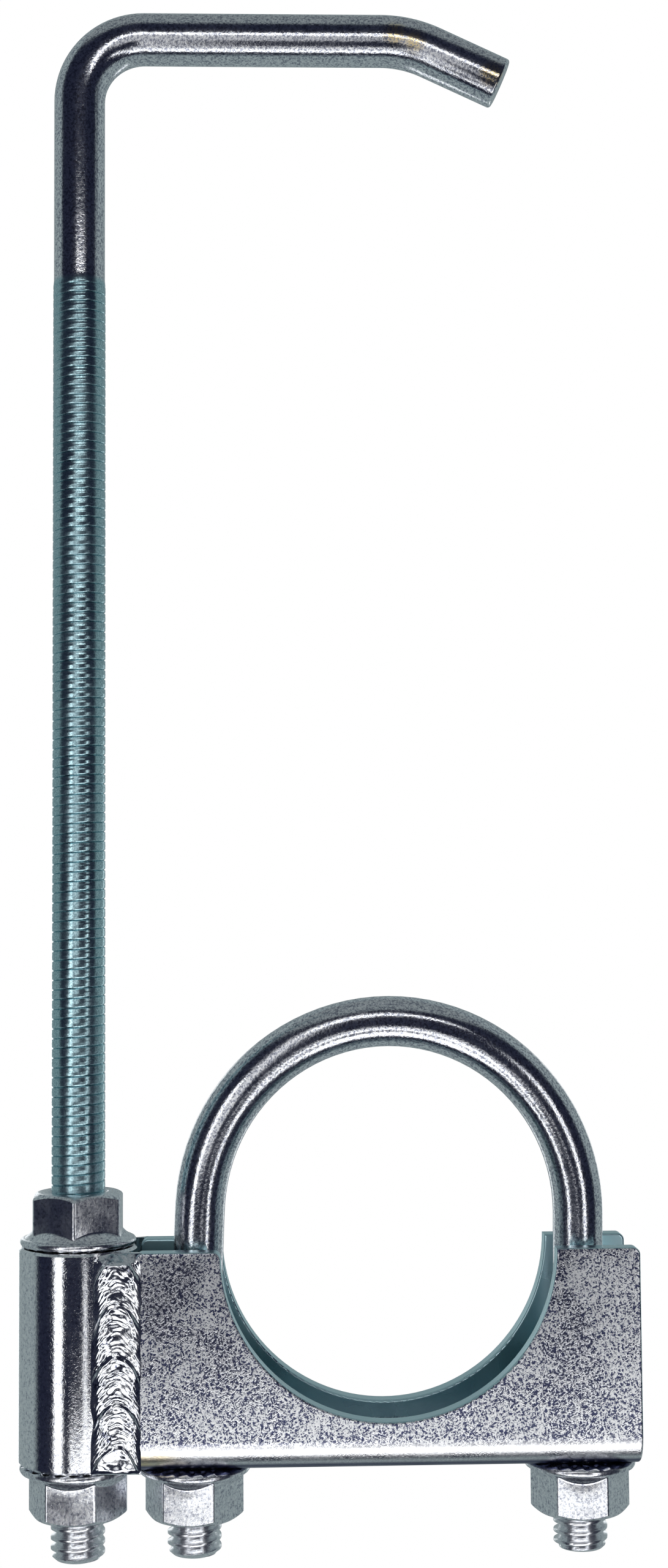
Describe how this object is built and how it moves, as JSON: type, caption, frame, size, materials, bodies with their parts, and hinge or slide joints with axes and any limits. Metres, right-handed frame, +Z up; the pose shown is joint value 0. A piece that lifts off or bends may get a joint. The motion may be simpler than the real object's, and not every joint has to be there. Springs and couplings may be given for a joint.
{
  "type": "u-bolt pipe clamp with hook bolt",
  "caption": "Zinc-plated U-bolt saddle clamp for a pipe, with a welded side sleeve that carries a height-adjustable hook bolt between flange nuts.",
  "frame": {"origin": "centre of the pipe seat, on the plane of the saddle's flange tops, midway across its width", "axes": "+Z up along the U-bolt's legs and the hook bolt, +Y along the clamped pipe, +X along the saddle away from the sleeve"},
  "size_m": [0.0895, 0.0182, 0.2285],
  "materials": {
    "zinc_plate": "bright zinc plate on rolled steel",
    "zinc_rod": "bright zinc plate on drawn rod and rolled thread",
    "zinc_nut": "dull zinc plate on forged nuts",
    "weld": "zinc plate over a rippled weld bead"
  },
  "bodies": {
    "clamp": {"saddle": "zinc_plate", "sleeve": "zinc_plate", "weld_front": "weld", "weld_back": "weld"},
    "u_bolt": {"u_bolt": "zinc_rod"},
    "left_clamp_nut": {"left_clamp_nut": "zinc_nut"},
    "right_clamp_nut": {"right_clamp_nut": "zinc_nut"},
    "lower_hook_nut": {"lower_hook_nut": "zinc_nut"},
    "hook_bolt": {"hook_bolt": "zinc_rod"},
    "upper_hook_nut": {"upper_hook_nut": "zinc_nut"}
  },
  "joints": [
    {"name": "u_bolt_travel", "type": "slide", "parent": "clamp", "child": "u_bolt", "axis": [0, 0, 1], "range_m": [-0.006, 0.005]},
    {"name": "left_clamp_nut_spin", "type": "hinge", "parent": "clamp", "child": "left_clamp_nut", "pos_m": [-0.028, 0, -0.031], "axis": [0, 0, 1], "continuous": true},
    {"name": "right_clamp_nut_spin", "type": "hinge", "parent": "clamp", "child": "right_clamp_nut", "pos_m": [0.028, 0, -0.031], "axis": [0, 0, 1], "continuous": true},
    {"name": "hook_swivel", "type": "hinge", "parent": "clamp", "child": "lower_hook_nut", "pos_m": [-0.0448, 0, -0.0307], "axis": [0, 0, 1], "continuous": true},
    {"name": "hook_height", "type": "slide", "parent": "lower_hook_nut", "child": "hook_bolt", "axis": [0, 0, 1], "range_m": [-0.12, 0.0055]},
    {"name": "upper_hook_nut_spin", "type": "hinge", "parent": "lower_hook_nut", "child": "upper_hook_nut", "pos_m": [-0.0448, 0, 0], "axis": [0, 0, 1], "continuous": true}
  ],
  "couplings": [
    {"joint": "left_clamp_nut_spin", "follows": "u_bolt_travel", "rad_per_m": -4452.7},
    {"joint": "right_clamp_nut_spin", "follows": "u_bolt_travel", "rad_per_m": -4452.7},
    {"joint": "upper_hook_nut_spin", "follows": "hook_height", "rad_per_m": -4452.7}
  ]
}
